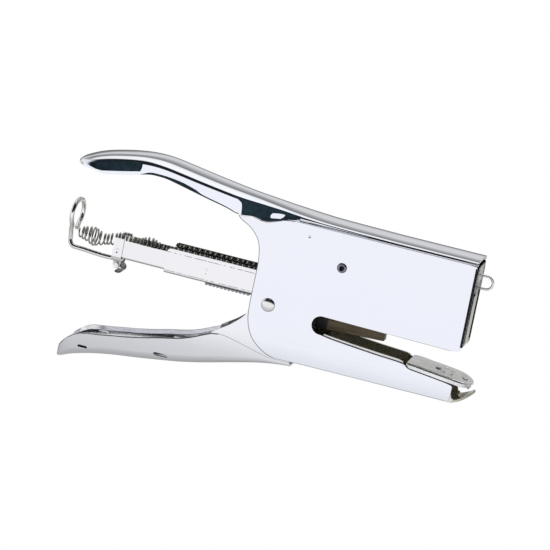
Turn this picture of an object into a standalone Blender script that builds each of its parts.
"""Plier stapler: chrome sheet-metal hand stapler with a rear-loading magazine.

Frame: +X runs forward along the magazine, +Y to the left, +Z up.
Sizes are in millimetres, measured from the axis of the main rivet (x = 0, z = 0)
and the mid plane (y = 0). ORIGIN_X and ORIGIN_Z shift them so that the origin
sits at the bottom centre of the whole stapler's box.
"""
import math

import bmesh
import bpy
from mathutils import Matrix, Vector

for old in list(bpy.data.objects):
    bpy.data.objects.remove(old, do_unlink=True)

# --------------------------------------------------------- shared dimensions
MM = 0.001
MERGE = 0.00001       # vertices closer than this are merged, in metres
ORIGIN_X = 0.63
ORIGIN_Z = 46.4
GAP = 0.3             # clearance between neighbouring pieces
SIDES = (-1, 1)       # right, left

# half widths, from the side plates inwards
PLATE_OUT = 9.3
PLATE_IN = PLATE_OUT - 0.9
LEVER_OUT = PLATE_IN - GAP           # cheeks and arms of the lower handle
LEVER_IN = LEVER_OUT - 0.8
MAG_WALL = 0.5
MAG_OUT = LEVER_IN - GAP
MAG_IN = MAG_OUT - MAG_WALL          # holds a 12.8 mm staple crown

SHEET = 1.0           # sheet thickness of the handles and the jaw
HEAD_FRONT = 85.0
PLATE_TOP = 38.2
COVER_EDGE = PLATE_TOP + GAP         # lower edge of the cover over the head
COVER_TOP = 40.5
JAW_FRONT = 84.7
JAW_BOTTOM = -22.2    # flat underside of the lower jaw

RIVET_R = 1.5         # main rivet shank
RIVET_HOLE_R = RIVET_R + GAP
RIVET_SEAT = PLATE_OUT + 0.15        # half length between the rivet heads
UPPER_RIVET = (28.2, 23.6)

PIN_R = 1.2
PIN_HOLE_R = PIN_R + GAP
DRIVER_PIN = (74.0, 32.5)
LEVER_SPRING_PIN = (10, -17)
JAW_SPRING_PIN = (40, -17)
HOOK_PIN = (-70.1, -0.6)

BLADE_X = (81.9, 82.5)
BLADE_BOTTOM = 12.3
PUSHER_REAR = 72.0
RAIL_SLIDE_Z = 9.8    # height of the axes the rail and the pusher slide along
BAIL_Y = -2.5         # bail wire inside the rail

# base colour, roughness, metallic
FINISHES = {
    "chrome": ((0.86, 0.87, 0.90), 0.12, 1.0),
    "nickel": ((0.80, 0.78, 0.72), 0.22, 1.0),
    "zinc": ((0.62, 0.63, 0.65), 0.35, 1.0),
    "hard_steel": ((0.42, 0.43, 0.45), 0.32, 1.0),
    "spring_steel": ((0.50, 0.50, 0.51), 0.28, 1.0),
    "browned_steel": ((0.16, 0.10, 0.05), 0.45, 0.6),
}

PART = bpy.data.collections.new("plier_stapler")
CUTTERS = bpy.data.collections.new("cutters")
for collection in (PART, CUTTERS):
    bpy.context.scene.collection.children.link(collection)


# ------------------------------------------------------------ object helpers
def finish(ob, kind):
    """Gives an object its own material of one of the FINISHES."""
    colour, roughness, metallic = FINISHES[kind]
    mat = bpy.data.materials.new(ob.name + "_" + kind)
    mat.use_nodes = True
    inputs = mat.node_tree.nodes["Principled BSDF"].inputs
    inputs["Base Color"].default_value = (*colour, 1)
    inputs["Roughness"].default_value = roughness
    inputs["Metallic"].default_value = metallic
    ob.data.materials.append(mat)


def move_to(ob, collection):
    for current in list(ob.users_collection):
        current.objects.unlink(ob)
    collection.objects.link(ob)


def add_object(name, data):
    ob = bpy.data.objects.new(name, data)
    PART.objects.link(ob)
    return ob


def in_metres(x, y, z):
    return (x + ORIGIN_X) * MM, y * MM, (z + ORIGIN_Z) * MM


def tidy(ob):
    bm = bmesh.new()
    bm.from_mesh(ob.data)
    bmesh.ops.remove_doubles(bm, verts=bm.verts, dist=MERGE)
    bmesh.ops.recalc_face_normals(bm, faces=bm.faces)
    bm.to_mesh(ob.data)
    bm.free()
    return ob


def bake(ob):
    """Turns an object with its modifiers, or a curve, into one plain mesh."""
    bpy.context.view_layer.update()
    depsgraph = bpy.context.evaluated_depsgraph_get()
    mesh = bpy.data.meshes.new_from_object(ob.evaluated_get(depsgraph))
    mesh.transform(ob.matrix_world)
    name = ob.name
    bpy.data.objects.remove(ob, do_unlink=True)
    return tidy(add_object(name, mesh))


def boolean(ob, other, operation="DIFFERENCE"):
    """Cuts, joins or intersects with another object, which becomes a hidden helper."""
    mod = ob.modifiers.new("cut" if operation == "DIFFERENCE" else "join", "BOOLEAN")
    mod.operation = operation
    mod.solver = "EXACT"
    mod.object = other
    move_to(other, CUTTERS)
    other.hide_render = True
    other.display_type = "WIRE"


def bevel_edges(ob, width, segments):
    mod = ob.modifiers.new("edge", "BEVEL")
    mod.width = width * MM
    mod.segments = segments
    mod.limit_method = "ANGLE"
    mod.angle_limit = math.radians(40)
    mod.use_clamp_overlap = True


def shade(ob):
    """Smooth shading with sharp edges."""
    for polygon in ob.data.polygons:
        polygon.use_smooth = True
    ob.data.set_sharp_from_angle(angle=math.radians(32))


# -------------------------------------------------------- curves and tables
def smooth(points, steps):
    """Catmull-Rom curve through open control points."""
    out = []
    last = len(points) - 1
    for i in range(last):
        controls = (points[max(i - 1, 0)], points[i], points[i + 1], points[min(i + 2, last)])
        for j in range(steps):
            t = j / steps
            out.append(tuple(
                0.5 * (2 * b + (c - a) * t + (2 * a - 5 * b + 4 * c - d) * t * t
                       + (3 * b - a - 3 * c + d) * t ** 3)
                for a, b, c, d in zip(*controls)))
    out.append(tuple(points[-1]))
    return out


def along(table, x):
    """Smooth monotone value of a table [(x, value), ...] at x, constant beyond its ends."""
    if x <= table[0][0]:
        return table[0][1]
    if x >= table[-1][0]:
        return table[-1][1]
    chords = [(v1 - v0) / (x1 - x0) for (x0, v0), (x1, v1) in zip(table, table[1:])]
    slopes = [chords[0]]
    for before, after in zip(chords, chords[1:]):
        flat_spot = before * after <= 0
        slopes.append(0.0 if flat_spot else 2 * before * after / (before + after))
    slopes.append(chords[-1])
    i = next(i for i in range(len(chords)) if x <= table[i + 1][0])
    (x0, v0), (x1, v1) = table[i], table[i + 1]
    h = x1 - x0
    t = (x - x0) / h
    return ((2 * t ** 3 - 3 * t * t + 1) * v0 + (t ** 3 - 2 * t * t + t) * h * slopes[i]
            + (-2 * t ** 3 + 3 * t * t) * v1 + (t ** 3 - t * t) * h * slopes[i + 1])


def slope_at(table, x, reach):
    return (along(table, x + reach) - along(table, x - reach)) / (2 * reach)


def stations(x0, x1, pitch):
    count = round((x1 - x0) / pitch)
    return [round(x0 + (x1 - x0) * i / count, 3) for i in range(count + 1)]


def arc(cx, cz, radius, start, end, steps):
    """Points of an arc between two angles in degrees."""
    angles = [math.radians(start + (end - start) * i / steps) for i in range(steps + 1)]
    return [(cx + radius * math.cos(a), cz + radius * math.sin(a)) for a in angles]


def ring(cx, cz, radius, count=24):
    return arc(cx, cz, radius, 0, 360 - 360 / count, count - 1)


def capsule(x0, x1, z, radius):
    """Slot outline with round ends centred at x0 and x1."""
    return arc(x1, z, radius, -90, 90, 6) + arc(x0, z, radius, 90, 270, 6)


def rectangle(u0, u1, v0, v1):
    return [(u0, v0), (u1, v0), (u1, v1), (u0, v1)]


def channel_outline(half, bottom, top, wall):
    """Section (y, z) of a U channel that opens upwards."""
    inner = half - wall
    return [(-half, bottom), (half, bottom), (half, top), (inner, top), (inner, bottom + wall),
            (-inner, bottom + wall), (-inner, top), (-half, top)]


def ribbon(path, thickness):
    """Closed outline of a strip that follows a path."""
    above, below = [], []
    for i, (x, z) in enumerate(path):
        x0, z0 = path[max(i - 1, 0)]
        x1, z1 = path[min(i + 1, len(path) - 1)]
        length = math.hypot(x1 - x0, z1 - z0)
        nx, nz = -(z1 - z0) / length, (x1 - x0) / length
        above.append((x + nx * thickness / 2, z + nz * thickness / 2))
        below.append((x - nx * thickness / 2, z - nz * thickness / 2))
    return above + below[::-1]


def at_mid_plane(points):
    return [(x, 0.0, z) for x, z in points]


def coil(x0, x1, turns, radii, centres):
    """Helix along x; radius and centre height follow tables along it."""
    count = turns * 8
    points = []
    for i in range(count + 1):
        t = i / count
        x = x0 + (x1 - x0) * t
        angle = math.tau * turns * t
        radius = along(radii, x)
        points.append((x, radius * math.cos(angle), along(centres, x) + radius * math.sin(angle)))
    return points


# ----------------------------------------------------------- solid builders
# drawing plane: orientation of the flat outline, direction of its thickness
PLANES = {
    "XZ": (Matrix(((1, 0, 0, 0), (0, 0, -1, 0), (0, 1, 0, 0), (0, 0, 0, 1))), Vector((0, 1, 0))),
    "YZ": (Matrix(((0, 0, 1, 0), (1, 0, 0, 0), (0, 1, 0, 0), (0, 0, 0, 1))), Vector((1, 0, 0))),
    "XY": (Matrix.Identity(4), Vector((0, 0, 1))),
}


def flat(name, loops, low, high, plane="XZ", bevel=0.0, segments=2):
    """Flat outline, with holes, filled and given thickness between low and high."""
    curve = bpy.data.curves.new(name, "CURVE")
    curve.dimensions = "2D"
    curve.fill_mode = "BOTH"
    curve.extrude = (high - low) / 2 * MM
    for loop in loops:
        spline = curve.splines.new("POLY")
        spline.points.add(len(loop) - 1)
        for point, (u, v) in zip(spline.points, loop):
            point.co = (u * MM, v * MM, 0, 1)
        spline.use_cyclic_u = True
    ob = add_object(name, curve)
    turn, normal = PLANES[plane]
    shift = Matrix.Translation(in_metres(0, 0, 0))
    ob.matrix_world = shift @ Matrix.Translation(normal * ((low + high) / 2 * MM)) @ turn
    ob = bake(ob)
    if bevel:
        bevel_edges(ob, bevel, segments)
    return ob


def side_sheet(name, side, inner, outer, loops, **edges):
    """Upright sheet on one side, between two distances from the mid plane."""
    low, high = sorted((side * inner, side * outer))
    return flat(name, loops, low, high, **edges)


def on_both_sides(ob, name, inner, outer, loops, operation="UNION"):
    for k, side in enumerate(SIDES):
        boolean(ob, side_sheet(f"{name}_{k}", side, inner, outer, loops), operation)


def box(name, x0, x1, y0, y1, z0, z1):
    centre = in_metres((x0 + x1) / 2, (y0 + y1) / 2, (z0 + z1) / 2)
    bpy.ops.mesh.primitive_cube_add(size=1, location=centre)
    ob = bpy.context.object
    ob.name = name
    ob.scale = ((x1 - x0) * MM, (y1 - y0) * MM, (z1 - z0) * MM)
    bpy.ops.object.transform_apply(location=True, rotation=False, scale=True)
    move_to(ob, PART)
    return ob


AXIS_TURNS = {
    "X": Matrix.Rotation(math.pi / 2, 4, "Y"),
    "Y": Matrix.Rotation(-math.pi / 2, 4, "X"),
    "Z": Matrix.Identity(4),
}


def turned(name, profile, x, z, axis="Y", steps=24):
    """Turned piece: profile is (radius, height) from the top to the bottom."""
    mesh = bpy.data.meshes.new(name)
    mesh.from_pydata([(r * MM, 0, h * MM) for r, h in profile],
                     [(i, i + 1) for i in range(len(profile) - 1)], [])
    ob = add_object(name, mesh)
    screw = ob.modifiers.new("turn", "SCREW")
    screw.axis = "Z"
    screw.angle = math.tau
    screw.steps = steps
    screw.render_steps = steps
    screw.use_merge_vertices = True
    screw.merge_threshold = MERGE
    ob.matrix_world = Matrix.Translation(in_metres(x, 0, z)) @ AXIS_TURNS[axis]
    return bake(ob)


def rod(name, radius, low, high, x, z, axis="Y", steps=16):
    profile = [(0, high), (radius, high), (radius, low), (0, low)]
    return turned(name, profile, x, z, axis, steps)


def sleeve(name, inner, outer, half, x, z, steps):
    profile = [(inner, half), (outer, half), (outer, -half), (inner, -half), (inner, half)]
    return turned(name, profile, x, z, steps=steps)


def rivet(name, shank, head, top, bottom, x, z, axis, steps):
    """Rivet with two domed heads; head is (radius, height, steps)."""
    radius, height, count = head
    angles = [math.radians(90 * i / count) for i in range(count + 1)]
    dome = [(radius * math.sin(a), height * math.cos(a)) for a in angles]
    profile = [(r, top + h) for r, h in dome] + [(shank, top), (shank, bottom)]
    profile += [(r, bottom - h) for r, h in reversed(dome)]
    finish(turned(name, profile, x, z, axis, steps), "nickel")


def wire(name, points, radius):
    """Round wire along points (x, y, z)."""
    curve = bpy.data.curves.new(name, "CURVE")
    curve.dimensions = "3D"
    curve.bevel_depth = radius * MM
    curve.bevel_resolution = 2
    curve.use_fill_caps = True
    spline = curve.splines.new("POLY")
    spline.points.add(len(points) - 1)
    for point, place in zip(spline.points, points):
        point.co = (*in_metres(*place), 1)
    return bake(add_object(name, curve))


def skin(name, outer, inner):
    """Sheet-metal loft: an outer and an inner grid of sections, joined round the rim."""
    rows, n = len(outer), len(outer[0])
    verts = [in_metres(*p) for section in outer + inner for p in section]
    base = rows * n
    faces = []
    for i in range(rows - 1):
        for j in range(n - 1):
            a = i * n + j
            faces.append((a, a + 1, a + n + 1, a + n))
            faces.append((base + a, base + a + n, base + a + n + 1, base + a + 1))
        for j in (0, n - 1):
            a = i * n + j
            faces.append((a, a + n, base + a + n, base + a))
    for i in (0, rows - 1):
        for j in range(n - 1):
            a = i * n + j
            faces.append((a, a + 1, base + a + 1, base + a))
    mesh = bpy.data.meshes.new(name)
    mesh.from_pydata(verts, [], faces)
    mesh.update()
    return tidy(add_object(name, mesh))


def inset(widths, x, thickness):
    """Station and half width of the inner skin where the outer one is at x."""
    slope = slope_at(widths, x, 0.05)
    for end, (first, second) in ((x <= widths[0][0] + 0.05, widths[:2]),
                                 (x >= widths[-1][0] - 0.05, widths[-2:])):
        if end:
            slope = (second[1] - first[1]) / (second[0] - first[0])
    stretch = math.sqrt(1 + slope * slope)
    return x + thickness * slope / stretch, along(widths, x) - thickness / stretch


def mirrored_section(x, half, middle_z):
    """Open section from the right edge over the middle to the left edge."""
    return ([(x, -y, z) for y, z in half] + [(x, 0.0, middle_z)]
            + [(x, y, z) for y, z in reversed(half)])


# --------------------------------------------------------------- side plates
# (x, z) from the bottom up the rear edge, then forward along the top
REAR_EDGE = [
    (7.0, -22.3), (3.3, -21.4), (0.0, -19.6), (-3.3, -17.0), (-5.6, -13.8), (-7.1, -10.0),
    (-7.9, -5.8), (-8.1, 0.0), (-8.0, 8.0), (-7.9, 15.0), (-8.1, 19.0), (-8.8, 23.5),
    (-10.2, 27.0), (-12.75, 30.0), (-15.2, 31.8), (-18.3, 33.4), (-20.2, 34.9)]
TOP_EDGE = [
    (-20.2, 34.9), (-17.6, 35.2), (-14.8, 35.8), (-12.0, 35.3), (-9.0, 34.8), (-6.5, 35.1),
    (-3.5, 36.2), (0.0, 37.5), (3.0, 38.0), (7.0, PLATE_TOP), (14.0, PLATE_TOP)]
THROAT_END = (24.2, -3.1, 4.05)       # round end of the throat: x, z, radius
# lower side of the throat, going forward
THROAT_LOW = [
    (24.6, -7.15), (30.0, -8.0), (40.0, -8.9), (50.0, -9.7), (60.0, -10.3), (63.0, -11.0),
    (65.0, -12.1), (70.0, -12.7), (80.0, -13.8), (JAW_FRONT - 1.0, -14.4)]


def side_plate_outline():
    corner = 1.2
    corner_x = HEAD_FRONT - corner
    outline = smooth(REAR_EDGE, 3)[:-1] + smooth(TOP_EDGE, 2)
    outline += [(HEAD_FRONT - 1.5, PLATE_TOP)]
    outline += arc(corner_x, PLATE_TOP - corner, corner, 90, 0, 3)[1:]
    outline += arc(corner_x, 1.7, corner, 0, -80, 3)
    outline += [(80.0, 0.1), (60.0, 0.4)]
    outline += arc(*THROAT_END, 88, 268, 12)
    outline += THROAT_LOW
    outline += arc(JAW_FRONT - 1.0, -15.4, 1.0, 80, 0, 3)
    outline += [(JAW_FRONT, -19.0), (JAW_FRONT - 0.3, -20.0), (JAW_FRONT - 1.4, -21.7),
                (60.0, -21.8), (20.0, -22.0)]
    return outline


def build_side_plates():
    loops = [side_plate_outline(), ring(0, 0, RIVET_HOLE_R), ring(*UPPER_RIVET, 1.9)]
    for name, side in (("left", 1), ("right", -1)):
        plate = side_sheet("side_plate_" + name, side, PLATE_IN, PLATE_OUT, loops,
                           bevel=0.12, segments=1)
        finish(plate, "chrome")


# ------------------------------------------------------------------- handles
# Tables along x: height of the outer crown, height of the free edge of the side
# walls, half width, height of the rounded part of the section, and how far the
# free edge stands out.
UPPER_HANDLE = {
    "crown": [
        (-94.8, 40.9), (-94.0, 41.7), (-91.0, 43.4), (-88.0, 44.8), (-85.0, 45.9), (-80.0, 47.3),
        (-75.0, 48.4), (-70.0, 49.3), (-65.0, 49.9), (-60.0, 50.1), (-55.0, 49.8), (-50.0, 49.1),
        (-40.0, 47.5), (-30.0, 46.0), (-20.0, 44.7), (-10.0, 43.6), (0.0, 42.5), (10.0, 41.6),
        (20.0, 41.0), (35.0, 40.7), (55.0, COVER_TOP), (HEAD_FRONT, COVER_TOP)],
    "edge": [
        (-94.8, 40.0), (-93.0, 39.7), (-90.0, 39.4), (-85.0, 38.9), (-81.5, 38.5), (-78.0, 39.1),
        (-75.0, 39.8), (-70.0, 40.9), (-65.0, 42.1), (-60.0, 43.1), (-55.0, 43.0), (-50.0, 42.1),
        (-45.0, 41.0), (-40.0, 39.9), (-35.0, 38.8), (-30.0, 37.8), (-25.0, 36.7), (-20.4, 35.4),
        (-17.6, 35.5), (-14.8, 36.1), (-12.0, 35.6), (-9.0, 35.1), (-6.5, 35.4), (-3.5, 36.5),
        (0.0, 37.8), (3.0, 38.3), (7.0, COVER_EDGE), (HEAD_FRONT, COVER_EDGE)],
    "width": [
        (-94.8, 2.6), (-94.4, 4.6), (-93.4, 6.4), (-91.8, 8.0), (-89.0, 9.2), (-85.0, 9.8),
        (-70.0, 10.1), (-40.0, 9.9), (-24.0, 9.7), (-19.0, 9.45), (-10.0, 8.9), (-2.0, 8.8),
        (6.0, 9.0), (HEAD_FRONT, 9.0)],
    "arch": [
        (-94.8, 0.6), (-93.0, 1.6), (-90.0, 2.8), (-85.0, 3.8), (-60.0, 4.2), (-30.0, 4.0),
        (-15.0, 3.2), (0.0, 2.0), (15.0, 1.4), (HEAD_FRONT, 1.2)],
    "hem": [(-4.0, 0.0), (6.0, 0.32), (HEAD_FRONT, 0.32)],
}
LOWER_HANDLE = {
    "crown": [
        (-88.6, -46.3), (-87.5, -46.4), (-84.0, -45.1), (-80.0, -43.8), (-74.0, -42.2),
        (-64.0, -40.3), (-58.0, -39.5), (-50.0, -38.4), (-43.0, -37.3), (-36.0, -36.2),
        (-30.0, -35.0), (-20.0, -32.6), (-10.0, -29.9), (0.0, -27.3), (8.0, -25.7), (14.0, -24.9)],
    "edge": [
        (-88.6, -44.3), (-88.4, -42.4), (-88.0, -41.0), (-87.2, -39.5), (-86.1, -38.0),
        (-85.0, -36.6), (-83.2, -35.1), (-80.8, -33.8), (-77.9, -32.6), (-75.0, -32.2),
        (-70.0, -31.5), (-63.4, -30.3), (-60.0, -29.8), (-55.0, -28.8), (-50.0, -27.7),
        (-45.0, -26.4), (-40.0, -25.3), (-35.0, -24.1), (-30.0, -22.3), (-25.0, -19.9),
        (-21.5, -18.5), (-18.5, -18.1), (-15.0, -18.5), (-10.0, -19.6), (-5.0, -20.8),
        (0.0, -22.0), (5.0, -23.0), (14.0, -23.1)],
    "width": [
        (-88.6, 5.2), (-88.3, 6.6), (-87.6, 7.7), (-86.0, 8.6), (-83.0, 9.1), (-75.0, 9.3),
        (-60.0, 9.2), (-40.0, 9.1), (-25.0, 9.0), (-16.0, 8.9), (-5.0, 8.8), (5.0, 8.6),
        (14.0, 8.4)],
    "arch": [
        (-88.6, 0.8), (-86.5, 2.4), (-82.0, 3.8), (-60.0, 4.2), (-20.0, 4.4), (0.0, 3.0),
        (8.0, 1.7), (14.0, 1.2)],
    "hem": [(0.0, 0.0)],
}
# x of the lofted sections
UPPER_STATIONS = ([-94.8, -94.5, -94.0, -93.2, -92.0, -90.4, -88.6] + stations(-86.0, -26.0, 5.0)
                  + stations(-23.0, 7.0, 3.0) + [12.0, 20.0, 34.0, 60.0, HEAD_FRONT])
LOWER_STATIONS = ([-88.6, -88.3, -87.8, -87.0, -86.0, -84.6, -82.4] + stations(-80.0, -29.0, 5.1)
                  + stations(-26.0, 14.0, 3.4))

# outline of the lower handle's cheeks and driver arms, (x, z)
CHEEK_REAR = [(-22.0, -17.9), (-20.0, -16.4), (-15.0, -12.9), (-10.0, -8.0), (-8.2, -4.6),
              (-7.2, -1.5)]
ARM_TOP = [(-6.0, 3.2), (-3.0, 6.0), (2.0, 8.2), (10.0, 10.6), (20.0, 14.3), (31.0, 20.2),
           (45.0, 27.0), (60.0, 32.4), (72.0, 35.0)]
ARM_TIP = (75.0, 32.5, 2.9)           # x, z, radius
ARM_LOW = [(60.0, 22.6), (45.0, 15.8), (30.0, 8.2), (22.0, 3.0), (17.5, -3.0),
           (16.0, -10.0), (14.5, -21.0), (13.0, -23.6)]
CHEEK_LOW = [(5.0, -24.4), (-8.0, -27.0), (-20.0, -29.9), (-23.0, -30.5), (-24.0, -26.8)]


def handle_section(x, crown_z, edge_z, width, arch, hem, up):
    """Section of a handle whose crown faces up (up = 1) or down (up = -1)."""
    steps, power = 7, 2.7             # of the superellipse over the crown
    spring_z = crown_z - up * arch
    wall = max(up * (spring_z - edge_z), 0.15)
    if up > 0:
        half = [(width + hem, edge_z), (width + hem, edge_z + min(0.9, wall * 0.4)),
                (width, edge_z + min(1.15, wall * 0.5))]
    else:
        half = [(width, edge_z), (width, edge_z - wall * 0.35), (width, edge_z - wall * 0.7)]
    for i in range(steps):
        a = math.pi / 2 * i / steps
        half.append((width * math.cos(a) ** (2 / power),
                     spring_z + up * arch * math.sin(a) ** (2 / power)))
    return mirrored_section(x, half, crown_z)


def handle_skin(name, xs, tables, up):
    crown, edge, width, arch, hem = (tables[key] for key in
                                     ("crown", "edge", "width", "arch", "hem"))
    outer, inner = [], []
    for x in xs:
        outer.append(handle_section(x, along(crown, x), along(edge, x), along(width, x),
                                    along(arch, x), along(hem, x), up))
        inner_x, inner_width = inset(width, x, SHEET)
        drop = SHEET * math.sqrt(1 + slope_at(crown, inner_x, 0.2) ** 2)
        crown_z = along(crown, inner_x) - up * drop
        edge_z = along(edge, inner_x)
        inner_arch = min(max(along(arch, inner_x) - SHEET, 0.4), abs(crown_z - edge_z) * 0.8)
        inner.append(handle_section(inner_x, crown_z, edge_z, inner_width, inner_arch, 0.0, up))
    return skin(name, outer, inner)


def build_upper_handle():
    handle = handle_skin("upper_handle", UPPER_STATIONS, UPPER_HANDLE, 1)
    flange = [(4.0, 36.8), (9.0, 35.2), (82.0, 35.2), (82.0, 39.8), (20.0, 40.2), (4.0, 41.1)]
    on_both_sides(handle, "flange", LEVER_OUT - SHEET, LEVER_OUT, [flange])
    finish(handle, "chrome")


def build_lower_handle():
    """Lower handle with cheeks round the main rivet and two driver arms in the head."""
    handle = handle_skin("lower_handle", LOWER_STATIONS, LOWER_HANDLE, -1)
    cheek = (smooth(CHEEK_REAR, 2)[:-1] + smooth(ARM_TOP, 2) + arc(*ARM_TIP, 60, -60, 5)
             + smooth(ARM_LOW, 2) + CHEEK_LOW)
    holes = [ring(0, 0, RIVET_HOLE_R), ring(*DRIVER_PIN, PIN_HOLE_R, 16),
             ring(*LEVER_SPRING_PIN, PIN_HOLE_R, 16)]
    on_both_sides(handle, "cheek", LEVER_IN, LEVER_OUT, [cheek, *holes])
    # elongated holes through both walls: centre x, z, length
    radius = 0.7
    for k, (x, z, length) in enumerate(((-77.0, -38.8, 4.4), (-42.2, -33.6, 6.6))):
        reach = length / 2 - radius
        boolean(handle, flat(f"slot_{k}", [capsule(x - reach, x + reach, z, radius)], -14, 14))
    finish(handle, "chrome")


# ---------------------------------------------------- rivets, spacer and pins
def build_plate_rivets():
    rivet("main_rivet", RIVET_R, (3.1, 1.1, 4), RIVET_SEAT, -RIVET_SEAT, 0, 0, "Y", 24)
    # hollow at both ends, with rolled lips
    lip = [(0, RIVET_SEAT - 4.0), (0.8, RIVET_SEAT - 4.0), (0.8, RIVET_SEAT + 0.35),
           (1.2, RIVET_SEAT + 0.6), (1.8, RIVET_SEAT + 0.5), (2.2, RIVET_SEAT),
           (1.6, RIVET_SEAT)]
    profile = lip + [(r, -h) for r, h in reversed(lip)]
    finish(turned("upper_rivet", profile, *UPPER_RIVET), "hard_steel")
    finish(sleeve("upper_spacer", 1.9, 2.5, LEVER_OUT, *UPPER_RIVET, steps=24), "zinc")


def build_pins():
    for name, place, kind in (("driver_pin", DRIVER_PIN, "hard_steel"),
                              ("lever_spring_pin", LEVER_SPRING_PIN, "zinc"),
                              ("jaw_spring_pin", JAW_SPRING_PIN, "zinc")):
        finish(rod(name, PIN_R, -LEVER_OUT, LEVER_OUT, *place), kind)
    finish(sleeve("driver_roller", PIN_HOLE_R, 1.95, 5.0, *DRIVER_PIN, steps=16), "zinc")


# ----------------------------------------------------------------- lower jaw
# everything above this line (x, z) is cut off the jaw channel
JAW_TOP_CUT = [
    (20.0, -5), (20.0, -6.1), (30.0, -7.1), (40.0, -8.0), (50.0, -8.8), (60.0, -9.4),
    (61.8, -9.9), (62.6, -12.9), (67.0, -13.5), (80.0, -14.6), (83.0, -15.0), (84.4, -18.0),
    (85.2, -20.3), (95.0, -20.3), (95.0, -5)]
# centre line (x, z) of the web's rising nose
JAW_NOSE = [(80.0, JAW_BOTTOM + 0.62), (84.5, JAW_BOTTOM + 0.62), (87.4, -21.0), (89.8, -19.7),
            (91.8, -18.2), (93.2, -16.9)]
# right half of the nose seen from above, (x, y)
JAW_NOSE_PLAN = [(78.0, -9.0), (86.0, -9.0), (86.0, -7.4), (89.0, -6.4), (91.0, -4.6),
                 (92.6, -2.6), (93.9, -1.2)]

# anvil along x: top, lower edge, half width
ANVIL_TOP = [(63.5, -9.8), (66.0, -9.8), (70.0, -10.2), (80.0, -11.2), (85.0, -11.8),
             (89.0, -12.6), (91.7, -13.4)]
ANVIL_LOW = [(63.5, -11.3), (65.0, -11.75), (70.0, -12.3), (80.0, -13.4), (85.0, -14.0),
             (88.0, -14.6), (91.7, -14.9)]
ANVIL_WIDTH = [(63.5, 8.4), (65.0, 8.9), (80.0, 8.9), (85.0, 8.5), (88.5, 7.2), (90.5, 5.2),
               (91.7, 2.6)]
ANVIL_STATIONS = [63.5, 64.3, 65.6, 70, 76, 82, 84.5, 86.5, 88, 89.3, 90.3, 91.0, 91.4, 91.7]
# top of the leaf spring, (x, z)
LEAF_TOP = [(72.0, -12.6), (80.0, -13.3), (86.0, -13.9), (89.6, -14.6), (90.8, -15.2)]
# rivets through anvil and leaf: name, x, height of the top seat over the anvil
ANVIL_RIVETS = [("rear", 76.0, 0.3), ("front", 88.0, 0.45)]


def build_jaw():
    outline = channel_outline(LEVER_OUT, JAW_BOTTOM, -5.5, SHEET)
    jaw = flat("jaw_channel", [outline], 26.0, 86.0, plane="YZ")
    boolean(jaw, flat("jaw_top_cut", [JAW_TOP_CUT], -10, 10))
    boolean(jaw, rod("jaw_pin_hole", PIN_HOLE_R, -20, 20, *JAW_SPRING_PIN))
    # strip that bends up and narrows to a rounded tongue
    nose = flat("nose_strip", [ribbon(smooth(JAW_NOSE, 3), 1.0)], -7.6, 7.6)
    plan = JAW_NOSE_PLAN + [(x, -y) for x, y in reversed(JAW_NOSE_PLAN)]
    boolean(nose, flat("nose_plan", [plan], -26.0, -10.0, "XY"), "INTERSECT")
    boolean(jaw, nose, "UNION")
    finish(jaw, "nickel")


def anvil_section(x, top, low, width, radius):
    half = [(width, low), (width, low + (top - low) * 0.45)]
    half += arc(width - radius, top - radius, radius, 0, 90, 3)
    half.append((width * 0.5, top))
    return mirrored_section(x, half, top)


def cut_rivet_holes(ob, name, radius, bottom):
    for k, (_, x, _) in enumerate(ANVIL_RIVETS):
        boolean(ob, rod(f"{name}_{k}", radius, bottom, -8.0, x, 0, "Z"))


def build_anvil():
    outer, inner = [], []
    for x in ANVIL_STATIONS:
        outer.append(anvil_section(x, along(ANVIL_TOP, x), along(ANVIL_LOW, x),
                                   along(ANVIL_WIDTH, x), 0.9 if x < 90 else 0.7))
        inner_x, width = inset(ANVIL_WIDTH, x, 0.8)
        low = along(ANVIL_LOW, inner_x)
        top = max(along(ANVIL_TOP, inner_x) - 0.85, low + 0.3)
        inner.append(anvil_section(inner_x, top, low, width, 0.25))
    anvil = skin("anvil_plate", outer, inner)
    for k, side in enumerate(SIDES):
        y = side * 3.4
        boolean(anvil, box(f"clinch_{k}", 81.4, 83.2, y - 2.6, y + 2.6, -11.75, -10.6))
    cut_rivet_holes(anvil, "anvil_hole", 1.3, -16.0)
    finish(anvil, "zinc")


def build_anvil_leaf():
    """Leaf spring under the anvil."""
    outline = LEAF_TOP + [(x + 0.1, z - 0.8) for x, z in reversed(LEAF_TOP)]
    leaf = flat("anvil_leaf", [outline], -2.8, 2.8, bevel=0.15, segments=1)
    cut_rivet_holes(leaf, "leaf_hole", 1.35, -18.0)
    finish(leaf, "spring_steel")


def build_anvil_rivets():
    for name, x, lift in ANVIL_RIVETS:
        rivet("anvil_rivet_" + name, 1.0, (1.7, 0.5, 3), along(ANVIL_TOP, x) + lift,
              along(LEAF_TOP, x) - 1.35, x, 0, "Z", 16)


# ------------------------------------------------------------- front of head
LOOP_Z, LOOP_R = 30.35, 2.8           # wire loop: centre height, bend radius


def build_front_guide():
    """Plate across the front of the head with two tall windows."""
    loops = [[(-8.1, 2.2), (8.1, 2.2), (8.1, 34.8), (6.8, 37.4), (-6.8, 37.4), (-8.1, 34.8)]]
    for side in SIDES:
        loops.append(rectangle(*sorted((side * 3.3, side * 7.3)), 4.0, 26.0))
    plate = flat("front_guide_plate", loops, 84.75, 85.35, plane="YZ")
    for k, z in enumerate((LOOP_Z - LOOP_R, LOOP_Z + LOOP_R)):
        boolean(plate, rod(f"loop_hole_{k}", 0.85, -4, 4, 84.8, z, "X"))
    finish(plate, "nickel")


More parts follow.
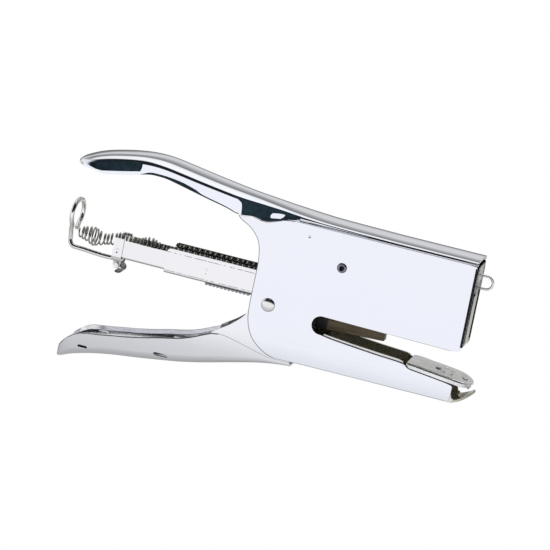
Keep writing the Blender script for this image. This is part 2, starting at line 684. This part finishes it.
def build_front_loop():
    leg = (84.0, 86.0, 88.0)
    points = [(x, LOOP_Z - LOOP_R) for x in leg]
    points += arc(88.5, LOOP_Z, LOOP_R, -75, 75, 10)
    points += [(x, LOOP_Z + LOOP_R) for x in reversed(leg)]
    finish(wire("front_loop", at_mid_plane(points), 0.55), "spring_steel")


# ----------------------------------------------------------------- magazine
MAG_REAR, MAG_FRONT = -48.3, 83.2
MAG_BOTTOM, MAG_TOP = 1.9, 12.9
STAPLE_SLOT = (81.7, 82.7)            # x
STAPLE_SLOT_TOP = MAG_BOTTOM + 1.2


def build_magazine():
    outline = channel_outline(MAG_OUT, MAG_BOTTOM, MAG_TOP, MAG_WALL)
    mag = flat("magazine_channel", [outline], MAG_REAR, MAG_FRONT, plane="YZ")
    ear = [(-5.5, 3.0)] + arc(0, 0, 3.9, 190, 350, 10) + [(5.5, 3.0), (5.5, 3.6), (-5.5, 3.6)]
    on_both_sides(mag, "ear", MAG_IN, MAG_OUT, [ear])
    boolean(mag, rod("mag_pivot", RIVET_HOLE_R, -20, 20, 0, 0, steps=24))
    # front wall and the staple opening under it
    boolean(mag, box("nose", STAPLE_SLOT[1], MAG_FRONT, -MAG_OUT + 0.01, MAG_OUT - 0.01,
                     STAPLE_SLOT_TOP, MAG_TOP - 0.02), "UNION")
    boolean(mag, box("staple_exit", STAPLE_SLOT[0], MAG_FRONT + 1, -MAG_IN, MAG_IN,
                     MAG_BOTTOM - 1, STAPLE_SLOT_TOP))
    # rounded upper rear corners
    radius = 1.6
    corner = [(MAG_REAR - 1, MAG_TOP + 1), (MAG_REAR - 1, MAG_TOP - radius)]
    corner += arc(MAG_REAR + radius, MAG_TOP - radius, radius, 180, 90, 4)
    corner += [(MAG_REAR + radius, MAG_TOP + 1)]
    on_both_sides(mag, "mag_corner", MAG_IN - 1, MAG_OUT + 1, [corner], "DIFFERENCE")
    finish(mag, "nickel")


def build_runner():
    """Toothed strip under the magazine channel."""
    top = 1.87
    outline = [(-29.5, top)]
    for k in range(12):
        x = -29.3 + 1.7 * k
        outline += [(x, 1.0), (x + 0.9, 1.0), (x + 1.1, 1.45), (x + 1.5, 1.45)]
    outline.append((-8.9, top))
    finish(flat("magazine_runner", [outline], -6.6, 6.6), "spring_steel")


def build_paper_stop():
    outline = [(20.0, 1.6), (50.9, 1.6), (50.9, -4.9), (26.0, -6.1), (20.6, -6.1), (20.0, -5.5)]
    stop = flat("paper_stop", [outline], -2.2, 2.2, bevel=0.15, segments=1)
    finish(stop, "browned_steel")


def build_driver_blade():
    """Blade with its slotted yoke."""
    yoke_half = 6.2
    blade = box("driver_blade", *BLADE_X, -6.3, 6.3, BLADE_BOTTOM, 30.2)
    boolean(blade, box("yoke_foot", 70.5, BLADE_X[0] + 0.3, -yoke_half, yoke_half, 29.4, 30.19),
            "UNION")
    ear = [(70.5, 29.8), (81.2, 29.8), (81.2, 34.4), (80.2, 35.0), (71.5, 35.0), (70.5, 34.2)]
    slot = capsule(73.6, 78.4, DRIVER_PIN[1], PIN_HOLE_R)
    on_both_sides(blade, "yoke_ear", 5.4, yoke_half, [ear, slot])
    finish(blade, "hard_steel")


# ---------------------------------------------- rail, collar, bail and pusher
RAIL_REAR, RAIL_FRONT = -72.5, 81.4
RAIL_BOTTOM, RAIL_TOP = 2.7, 10.9
RAIL_HALF, RAIL_WALL = 5.8, 0.7
NOTCH_Y = (BAIL_Y - 1.35, BAIL_Y + 1.35)

# bail wire (x, y, z) along the floor of the rail and out through the notch
BAIL_START = [
    (-63.0, BAIL_Y, 4.75), (-67.5, BAIL_Y, 4.75), (-69.4, BAIL_Y, 4.6), (-71.0, BAIL_Y, 3.4),
    (-72.4, BAIL_Y, 2.05), (-74.0, BAIL_Y, 1.4), (-80.0, BAIL_Y + 0.2, 1.5),
    (-86.0, BAIL_Y + 0.7, 1.8)]
BAIL_BEND_R = 2.7
FINGER_X, FINGER_Z, FINGER_R = -92.2, 16.6, 6.0
FINGER_TILT = 0.122                   # x travel of the finger ring per unit of y

# pusher spring along x: coil radius, height of the coil's centre
SPRING_RADII = [
    (-90.4, 1.2), (-89.0, 2.2), (-86.0, 3.0), (-83.0, 3.8), (-80.0, 2.9), (-77.5, 2.1),
    (-75.0, 2.4), (-71.0, 2.2), (-65.0, 2.4), (-58.0, 2.8), (-50.0, 2.2), (-44.0, 2.6),
    (72.0, 2.6)]
SPRING_CENTRES = [
    (-90.4, 8.6), (-86.0, 8.4), (-83.0, 8.1), (-78.0, 8.0), (-75.0, 8.7), (-70.6, 10.3),
    (-65.4, 8.9), (-62.6, 9.6), (-57.5, 10.8), (-54.0, 9.9), (-50.0, 8.4), (-44.0, 9.2),
    (72.0, 9.4)]


def build_rail():
    outline = channel_outline(RAIL_HALF, RAIL_BOTTOM, RAIL_TOP, RAIL_WALL)
    rail = flat("staple_rail", [outline], RAIL_REAR, RAIL_FRONT, plane="YZ")
    boolean(rail, box("rail_notch", RAIL_REAR - 1, -67.6, *NOTCH_Y,
                      RAIL_BOTTOM - 1, RAIL_BOTTOM + RAIL_WALL + 0.2))
    finish(rail, "nickel")


def build_collar():
    """Channel round the rear of the rail, with two ears for the hook's pin."""
    outline = channel_outline(7.0, 1.5, 11.6, 0.9)
    collar = flat("rail_collar", [outline], -72.2, -68.0, plane="YZ", bevel=0.2)
    boolean(collar, box("collar_notch", -73.0, -70.0, *NOTCH_Y, 0.5, 3.0))
    ear = [(-71.7, 2.0), (-71.7, 0.0)] + arc(*HOOK_PIN, 1.5, 200, 340, 6)
    ear += [(-68.5, 0.0), (-68.5, 2.0)]
    on_both_sides(collar, "collar_ear", 3.4, 4.2, [ear, ring(*HOOK_PIN, 0.9, 12)])
    finish(collar, "nickel")


def build_bail():
    """Wire from the rail's floor to the rear, up and round to a finger ring."""
    points = smooth(BAIL_START, 2)
    for degrees in range(0, 91, 18):
        a = math.radians(degrees)
        points.append((-90.4 - BAIL_BEND_R * math.sin(a), BAIL_Y + 0.9 + degrees / 90,
                       4.6 - BAIL_BEND_R * math.cos(a)))
    points += [(-93.15, -1.3, 7.2), (-93.15, -2.3, 9.6)]
    for degrees in range(40, 335, 14):
        a = math.radians(degrees)
        y = -FINGER_R * math.sin(a)
        points.append((FINGER_X + FINGER_TILT * y, y, FINGER_Z - FINGER_R * math.cos(a)))
    points += [(-91.6, 1.7, 10.4), (-91.7, 0.6, 9.7)]
    finish(wire("bail_wire", points, 1.0), "nickel")


def build_hook():
    """Headed pin and the strip rolled round it, carried forward and curled under."""
    half_pin = [(0, 5.1), (1.1, 5.1), (1.1, 4.5), (0.6, 4.5)]
    profile = half_pin + [(r, -h) for r, h in reversed(half_pin)]
    finish(turned("hook_pin", profile, *HOOK_PIN, steps=12), "zinc")

    strip = 0.7
    roll = arc(*HOOK_PIN, 1.3, 120, -140, 10)
    tail = smooth([(-69.1, -1.1), (-68.2, -1.3), (-67.5, -2.3), (-67.8, -3.4), (-69.0, -4.1),
                   (-70.6, -3.9)], 3)
    hook = flat("latch_hook", [ribbon(roll, strip)], -3.0, 3.0)
    boolean(hook, flat("hook_tail", [ribbon(tail, strip)], -2.99, 2.99), "UNION")
    finish(hook, "spring_steel")


def build_pusher():
    outline = [(-4.8, 3.7), (4.8, 3.7), (4.8, 11.2), (6.2, 11.2), (6.2, 12.2), (-6.2, 12.2),
               (-6.2, 11.2), (-4.8, 11.2)]
    finish(flat("pusher", [outline], PUSHER_REAR, 80.6, plane="YZ", bevel=0.15), "zinc")


def build_pusher_spring():
    """Spring with tight turns at the rear and wide ones along the rail."""
    points = coil(-90.4, -48.0, 20, SPRING_RADII, SPRING_CENTRES)
    points += coil(-48.0, 71.4, 11, SPRING_RADII, SPRING_CENTRES)[1:]
    finish(wire("pusher_spring", points, 0.38), "spring_steel")


def build_return_spring():
    """Spring with a hook round each of the two spring pins."""
    wire_r = 0.5
    hook_r = PIN_HOLE_R + wire_r
    points = at_mid_plane(arc(*LEVER_SPRING_PIN, hook_r, 240, 100, 7))
    points += [(13.4, 0.4, -16.2)]
    points += coil(15.0, 35.0, 7, [(15.0, 2.0)], [(15.0, LEVER_SPRING_PIN[1])])
    points += [(36.6, 0.4, -16.2)]
    points += at_mid_plane(arc(*JAW_SPRING_PIN, hook_r, 100, -60, 8))
    finish(wire("return_spring", points, wire_r), "spring_steel")


# ---------------------------------------------------------------- joint axes
def add_axis(name, x, z, pieces, carried_by=None):
    """An empty on a joint's axis that carries the pieces moving about or along it."""
    place = Vector(in_metres(x, 0.0, z))
    empty = add_object(name, None)
    empty.empty_display_size = 0.01
    empty.location = place
    if carried_by:
        empty.parent = carried_by
        empty.matrix_parent_inverse = Matrix.Translation(-carried_by.location)
    for piece in pieces:
        ob = bpy.data.objects[piece]
        ob.parent = empty
        ob.matrix_parent_inverse = Matrix.Translation(-place)
    return empty


def build_axes():
    add_axis("lower_lever_axis", 0.0, 0.0,
             ["lower_handle", "driver_pin", "driver_roller", "lever_spring_pin"])
    magazine = add_axis("magazine_axis", 0.0, 0.0,
                        ["magazine_channel", "magazine_runner", "paper_stop"])
    add_axis("driver_slide", sum(BLADE_X) / 2, BLADE_BOTTOM, ["driver_blade"], magazine)
    rail = add_axis("rail_slide", 0.0, RAIL_SLIDE_Z,
                    ["staple_rail", "rail_collar", "bail_wire", "hook_pin", "pusher_spring"],
                    magazine)
    add_axis("pusher_slide", PUSHER_REAR, RAIL_SLIDE_Z, ["pusher"], rail)
    add_axis("hook_axis", *HOOK_PIN, ["latch_hook"], rail)


build_side_plates()
build_upper_handle()
build_lower_handle()
build_plate_rivets()
build_pins()
build_jaw()
build_anvil()
build_anvil_leaf()
build_anvil_rivets()
build_front_guide()
build_front_loop()
build_magazine()
build_runner()
build_paper_stop()
build_driver_blade()
build_rail()
build_collar()
build_bail()
build_hook()
build_pusher()
build_pusher_spring()
build_return_spring()

for part in PART.objects:
    shade(part)

build_axes()
